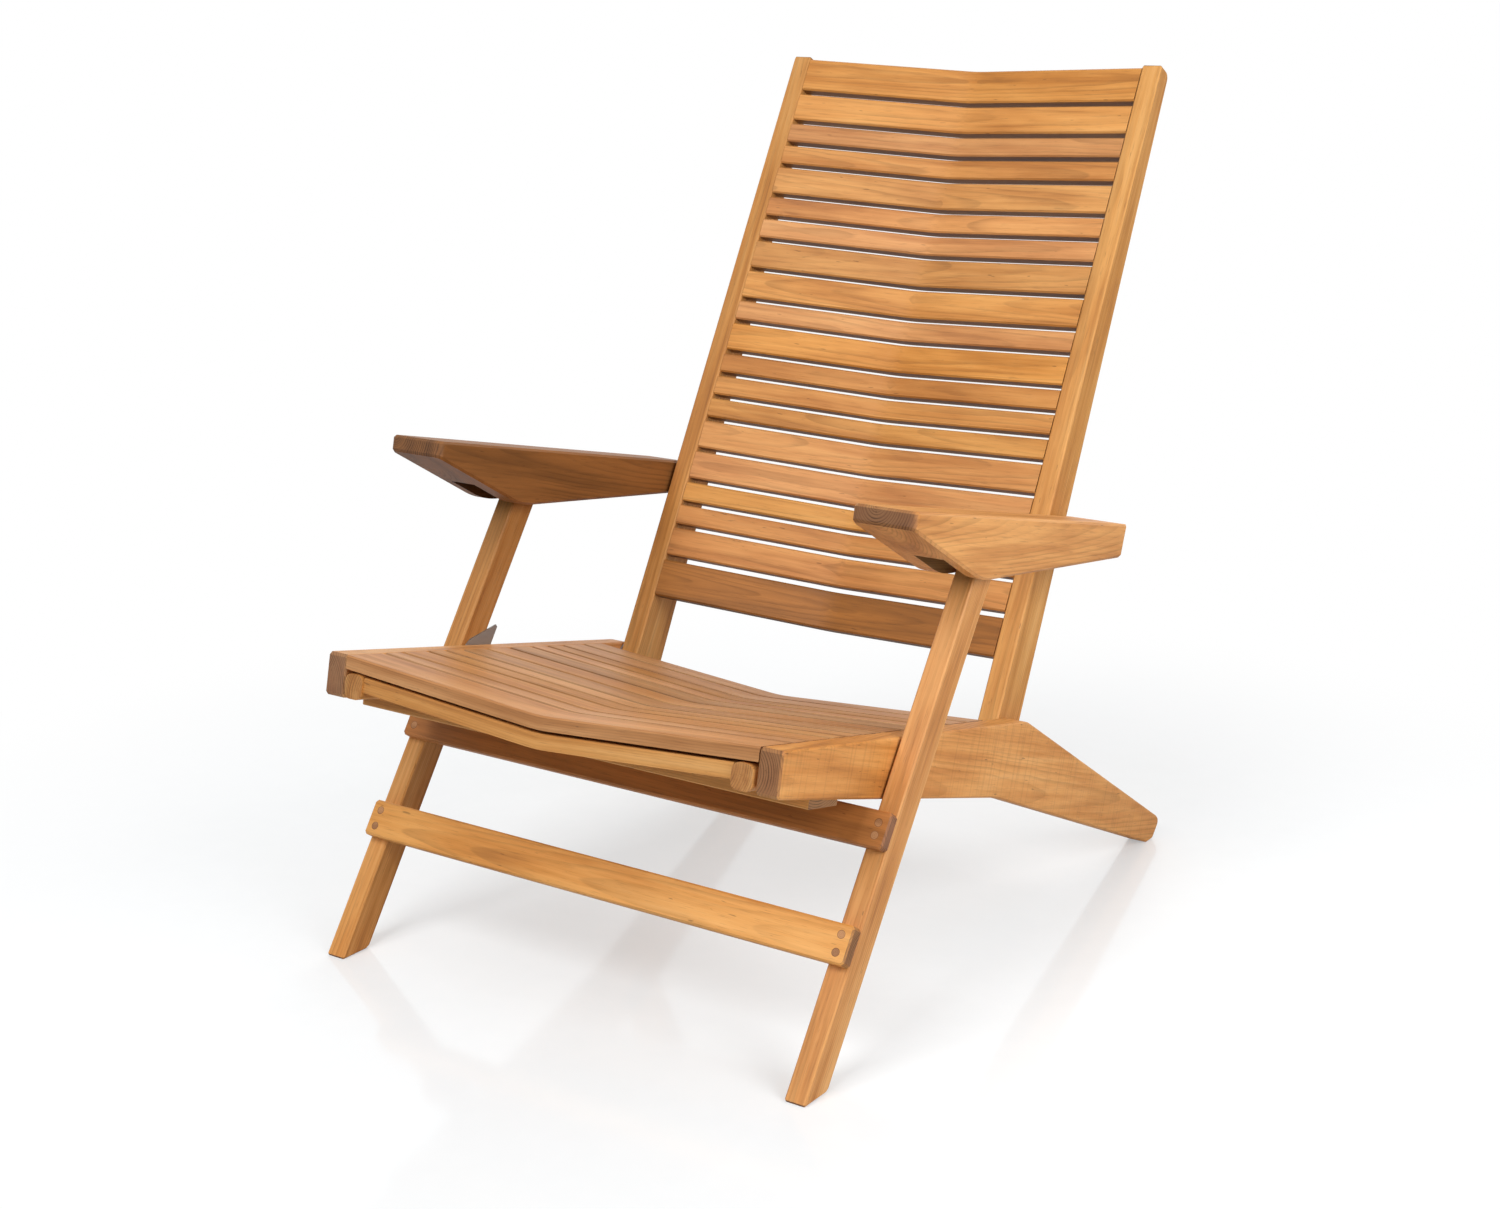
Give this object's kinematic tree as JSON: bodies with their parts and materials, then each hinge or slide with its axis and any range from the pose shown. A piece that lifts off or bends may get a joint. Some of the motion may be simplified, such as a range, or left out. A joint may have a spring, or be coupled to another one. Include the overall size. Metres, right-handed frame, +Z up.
{
  "type": "deck chair",
  "caption": "Folding wooden deck chair with bent seat and back slats, wedge-shaped arms and a footrest that slides out from under the seat.",
  "frame": {"origin": "on the floor, at the bottom centre of the open chair's box", "axes": "+Z up, -Y the way the sitter faces, X across the chair; left is -X, seen from the front"},
  "size_m": [0.663, 0.8738, 0.9348],
  "materials": {
    "teak": "oiled satin",
    "plug_wood": "oiled end grain",
    "plate_steel": "satin",
    "pin_steel": "satin"
  },
  "bodies": {
    "seat": {"front_bearer": "teak", "rear_bearer": "teak", "seat_rail_left": "teak", "seat_rail_right": "teak", "seat_slat_01": "teak", "seat_slat_02": "teak", "seat_slat_03": "teak", "seat_slat_04": "teak", "seat_slat_05": "teak", "seat_slat_06": "teak", "seat_slat_07": "teak", "seat_slat_08": "teak", "seat_slat_09": "teak", "seat_slat_10": "teak", "seat_slat_11": "teak", "seat_slat_12": "teak"},
    "footrest": {"footrest_bar": "teak", "footrest_runner_left": "teak", "footrest_runner_right": "teak", "footrest_slat_01": "teak", "footrest_slat_02": "teak", "footrest_slat_03": "teak", "footrest_slat_04": "teak", "footrest_slat_05": "teak", "footrest_slat_06": "teak"},
    "legs": {"crossrail_plugs": "plug_wood", "front_leg_left": "teak", "front_leg_right": "teak", "leg_crossrail": "teak", "leg_pivot_pins": "pin_steel", "leg_plates": "plate_steel", "leg_stretcher": "teak"},
    "back": {"back_pivot_pins": "pin_steel", "back_post_left": "teak", "back_post_right": "teak", "back_slat_01": "teak", "back_slat_02": "teak", "back_slat_03": "teak", "back_slat_04": "teak", "back_slat_05": "teak", "back_slat_06": "teak", "back_slat_07": "teak", "back_slat_08": "teak", "back_slat_09": "teak", "back_slat_10": "teak", "back_slat_11": "teak", "back_slat_12": "teak", "back_slat_13": "teak", "back_slat_14": "teak", "back_slat_15": "teak", "back_slat_16": "teak", "back_slat_17": "teak", "back_slat_18": "teak", "back_slat_19": "teak", "back_slat_20": "teak", "pivot_washers": "plate_steel"},
    "arm_left": {"arm_left": "teak"},
    "arm_right": {"arm_right": "teak"}
  },
  "joints": [
    {"name": "footrest_slide", "type": "slide", "parent": "seat", "child": "footrest", "axis": [0, -0.9778, 0.2096], "range_m": [0, 0.3]},
    {"name": "back_fold", "type": "hinge", "parent": "seat", "child": "back", "pos_m": [0, 0.04783, 0.23824], "axis": [1, 0, 0], "range_deg": [0, 76]},
    {"name": "leg_fold", "type": "hinge", "parent": "seat", "child": "legs", "pos_m": [0, -0.2186, 0.27592], "axis": [1, 0, 0], "range_deg": [0, 76]},
    {"name": "arm_left_fold", "type": "hinge", "parent": "back", "child": "arm_left", "pos_m": [0, 0.17462, 0.42452], "axis": [1, 0, 0], "range_deg": [-76, 0]},
    {"name": "arm_right_fold", "type": "hinge", "parent": "back", "child": "arm_right", "pos_m": [0, 0.17462, 0.42452], "axis": [1, 0, 0], "range_deg": [-76, 0]}
  ],
  "couplings": [
    {"joint": "leg_fold", "follows": "back_fold", "ratio": 1},
    {"joint": "arm_left_fold", "follows": "back_fold", "ratio": -1},
    {"joint": "arm_right_fold", "follows": "back_fold", "ratio": -1}
  ]
}
